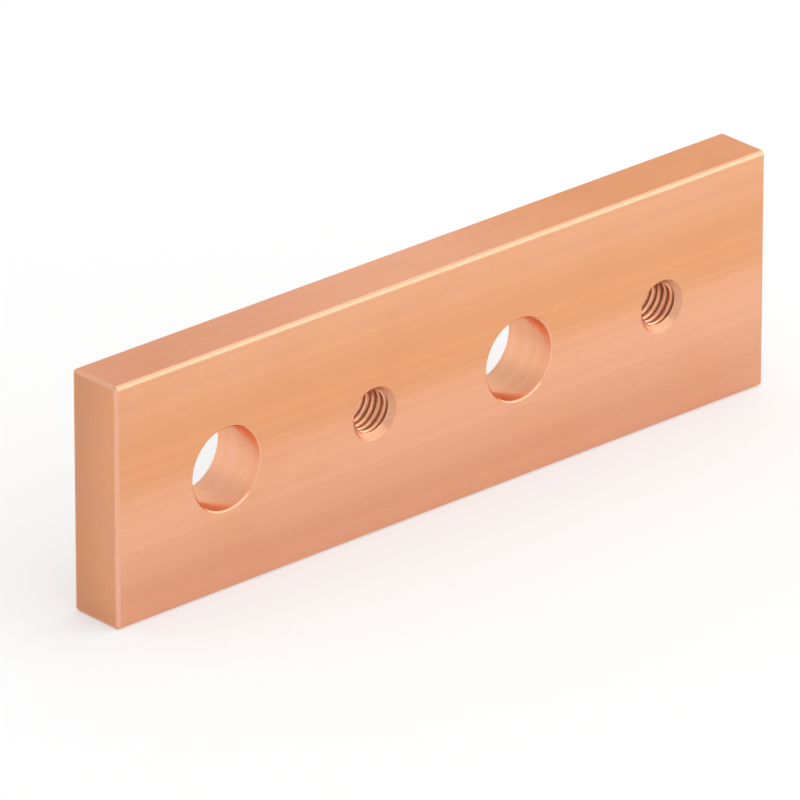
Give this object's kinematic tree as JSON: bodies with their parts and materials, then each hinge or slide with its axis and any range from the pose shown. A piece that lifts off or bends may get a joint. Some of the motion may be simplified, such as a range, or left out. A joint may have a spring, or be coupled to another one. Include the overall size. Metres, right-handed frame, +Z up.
{
  "type": "copper busbar",
  "caption": "Flat copper bar with rounded long edges and one centred row of holes, plain and tapped by turns, for bolting conductors and terminals together.",
  "frame": {"origin": "middle of the lower long edge, which the bar stands on", "axes": "+X along the bar's length, away from the end whose nearest hole is plain; +Y through its thickness, from the front face to the back face; +Z up its width"},
  "size_m": [0.134, 0.01, 0.04],
  "materials": {
    "copper": null
  },
  "bodies": {
    "root": {"busbar": "copper"}
  },
  "joints": []
}
